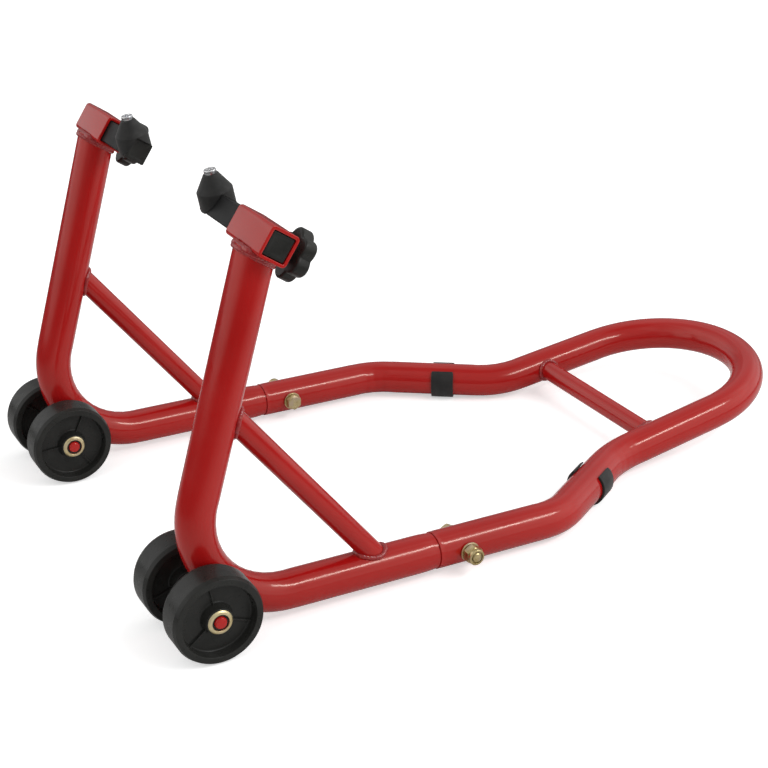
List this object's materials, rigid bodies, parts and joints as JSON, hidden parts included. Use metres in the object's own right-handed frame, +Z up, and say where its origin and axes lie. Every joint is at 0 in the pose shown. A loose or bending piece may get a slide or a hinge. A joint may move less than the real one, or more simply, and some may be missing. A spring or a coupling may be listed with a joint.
{
  "type": "motorcycle paddock stand",
  "caption": "Red steel paddock stand with a looped handle, twin wheels on both side tubes, and sliding support arms with rubber bobbins clamped by star knobs.",
  "frame": {"origin": "on the floor, in the middle of the stand's length and width", "axes": "+X from the wheels to the handle, +Y to the stand's left side, +Z up"},
  "size_m": [0.8373, 0.5224, 0.4148],
  "materials": {
    "red_powder_coat": "gloss red powder coat",
    "black_powder_coat": "satin black powder coat",
    "black_plastic": "satin moulded black nylon",
    "black_rubber": "matte moulded black rubber",
    "yellow_zinc": "yellow passivated zinc plate",
    "bright_zinc": "bright zinc plate"
  },
  "bodies": {
    "root": {"handle_tube": "red_powder_coat", "cross_bar": "red_powder_coat", "main_tube_left": "red_powder_coat", "brace_tube_left": "red_powder_coat", "socket_left": "red_powder_coat", "clamp_nut_left": "red_powder_coat", "axle_left": "red_powder_coat", "retainer_outer_left": "yellow_zinc", "retainer_inner_left": "yellow_zinc", "joint_bolt_left": "yellow_zinc", "joint_washer_inner_left": "yellow_zinc", "joint_washer_outer_left": "yellow_zinc", "joint_nut_left": "yellow_zinc", "foot_pad_left": "black_rubber", "main_tube_right": "red_powder_coat", "brace_tube_right": "red_powder_coat", "socket_right": "red_powder_coat", "clamp_nut_right": "red_powder_coat", "axle_right": "red_powder_coat", "retainer_outer_right": "yellow_zinc", "retainer_inner_right": "yellow_zinc", "joint_bolt_right": "yellow_zinc", "joint_washer_inner_right": "yellow_zinc", "joint_washer_outer_right": "yellow_zinc", "joint_nut_right": "yellow_zinc", "foot_pad_right": "black_rubber"},
    "wheel_outer_left": {"wheel_outer_left": "black_plastic"},
    "wheel_inner_left": {"wheel_inner_left": "black_plastic"},
    "arm_left": {"support_arm_left": "black_powder_coat", "arm_plug_outer_left": "black_plastic", "arm_plug_inner_left": "black_plastic", "bobbin_left": "black_rubber", "bobbin_screw_left": "bright_zinc"},
    "clamp_screw_left": {"clamp_screw_left": "yellow_zinc"},
    "knob_left": {"knob_left": "black_plastic"},
    "wheel_outer_right": {"wheel_outer_right": "black_plastic"},
    "wheel_inner_right": {"wheel_inner_right": "black_plastic"},
    "arm_right": {"support_arm_right": "black_powder_coat", "arm_plug_outer_right": "black_plastic", "arm_plug_inner_right": "black_plastic", "bobbin_right": "black_rubber", "bobbin_screw_right": "bright_zinc"},
    "clamp_screw_right": {"clamp_screw_right": "yellow_zinc"},
    "knob_right": {"knob_right": "black_plastic"}
  },
  "joints": [
    {"name": "wheel_outer_left_spin", "type": "hinge", "parent": "root", "child": "wheel_outer_left", "pos_m": [-0.37467, 0.2415, 0.044], "axis": [0, 1, 0], "continuous": true},
    {"name": "wheel_inner_left_spin", "type": "hinge", "parent": "root", "child": "wheel_inner_left", "pos_m": [-0.37467, 0.1663, 0.044], "axis": [0, 1, 0], "continuous": true},
    {"name": "arm_left_slide", "type": "slide", "parent": "root", "child": "arm_left", "axis": [0, 1, 0], "range_m": [-0.02, 0.04]},
    {"name": "clamp_screw_left_travel", "type": "slide", "parent": "root", "child": "clamp_screw_left", "axis": [0.831, 0, -0.5563], "range_m": [0, 0.006]},
    {"name": "knob_left_turn", "type": "hinge", "parent": "clamp_screw_left", "child": "knob_left", "pos_m": [-0.2652, 0.203, 0.3556], "axis": [0.831, 0, -0.5563], "range_deg": [0, 1440]},
    {"name": "wheel_outer_right_spin", "type": "hinge", "parent": "root", "child": "wheel_outer_right", "pos_m": [-0.37467, -0.2415, 0.044], "axis": [0, 1, 0], "continuous": true},
    {"name": "wheel_inner_right_spin", "type": "hinge", "parent": "root", "child": "wheel_inner_right", "pos_m": [-0.37467, -0.1663, 0.044], "axis": [0, 1, 0], "continuous": true},
    {"name": "arm_right_slide", "type": "slide", "parent": "root", "child": "arm_right", "axis": [0, -1, 0], "range_m": [-0.02, 0.04]},
    {"name": "clamp_screw_right_travel", "type": "slide", "parent": "root", "child": "clamp_screw_right", "axis": [0.831, 0, -0.5563], "range_m": [0, 0.006]},
    {"name": "knob_right_turn", "type": "hinge", "parent": "clamp_screw_right", "child": "knob_right", "pos_m": [-0.2652, -0.203, 0.3556], "axis": [0.831, 0, -0.5563], "range_deg": [0, 1440]}
  ],
  "couplings": [
    {"joint": "clamp_screw_left_travel", "follows": "knob_left_turn", "m_per_rad": 0.00023873},
    {"joint": "clamp_screw_right_travel", "follows": "knob_right_turn", "m_per_rad": 0.00023873}
  ]
}
